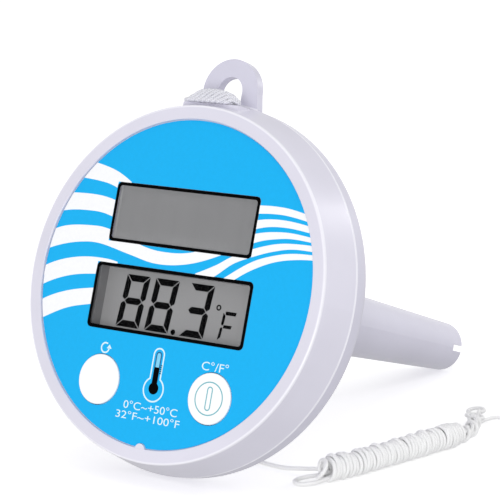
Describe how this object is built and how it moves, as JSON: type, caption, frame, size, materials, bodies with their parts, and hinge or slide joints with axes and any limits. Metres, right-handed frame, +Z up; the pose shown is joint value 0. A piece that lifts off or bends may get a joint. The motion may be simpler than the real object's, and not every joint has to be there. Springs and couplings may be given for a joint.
{
  "type": "floating pool thermometer",
  "caption": "Round solar-powered floating pool thermometer with a digital display, push buttons, a hollow rear probe, a tether eye and a tied cord wound into a hank.",
  "frame": {"origin": "centre of the thermometer's footprint on the surface it lies on, leaving the cord out of the measure", "axes": "+Z up; +X to the right across the face; the printed face looks towards -Y and leans back 17.84 degrees, and the probe runs towards +Y, its tip on the ground"},
  "size_m": [0.1164, 0.1809, 0.1246],
  "materials": {
    "shell": "fine satin moulding",
    "label": "printed film",
    "window": "clear acrylic with a black printed border",
    "solar": "amorphous silicon on glass",
    "carrier": "moulded",
    "display_dark": "moulded",
    "lcd": "display glass",
    "elastomer": "silicone",
    "board": "solder mask",
    "chip": "epoxy",
    "nickel": "nickel plated",
    "steel": "stainless steel",
    "rubber": "seal",
    "plug": "silicone",
    "button": "satin",
    "switch": "moulded",
    "socket": "nylon",
    "wire_red": "insulation",
    "wire_black": "insulation",
    "cord": "braided nylon"
  },
  "bodies": {
    "float": {"front_housing": "shell", "rear_housing": "shell", "probe_tube": "shell", "main_seal": "rubber", "housing_screws": "steel", "screw_plugs": "plug", "face_label": "label", "solar_window": "window", "lcd_window": "window", "solar_cell": "solar", "cell_carrier": "carrier", "solar_leads": "wire_black", "display_frame": "display_dark", "lcd_panel": "lcd", "contact_strips": "elastomer", "circuit_board": "board", "controller_chip": "chip", "clock_crystal": "nickel", "chip_resistors": "chip", "storage_cell": "nickel", "cell_tabs": "nickel", "board_screws": "steel", "reset_switch": "switch", "unit_switch": "switch", "button_seals": "rubber", "lead_socket": "socket", "sensor_leads": "wire_red", "thermistor": "chip", "sensor_cap": "steel", "sensor_plug": "rubber", "plug_seal": "rubber", "tether_knot": "cord", "tether_run": "cord", "tether_hank": "cord"},
    "reset_button": {"reset_button": "button", "reset_plunger": "switch", "reset_clip": "steel"},
    "unit_button": {"unit_button": "button", "unit_plunger": "switch", "unit_clip": "steel"}
  },
  "joints": [
    {"name": "reset_press", "type": "slide", "parent": "float", "child": "reset_button", "axis": [0, 0.9519, -0.3064], "range_m": [0, 0.0005], "stiffness_N_per_m": 3000},
    {"name": "unit_press", "type": "slide", "parent": "float", "child": "unit_button", "axis": [0, 0.9519, -0.3064], "range_m": [0, 0.0005], "stiffness_N_per_m": 3000}
  ]
}
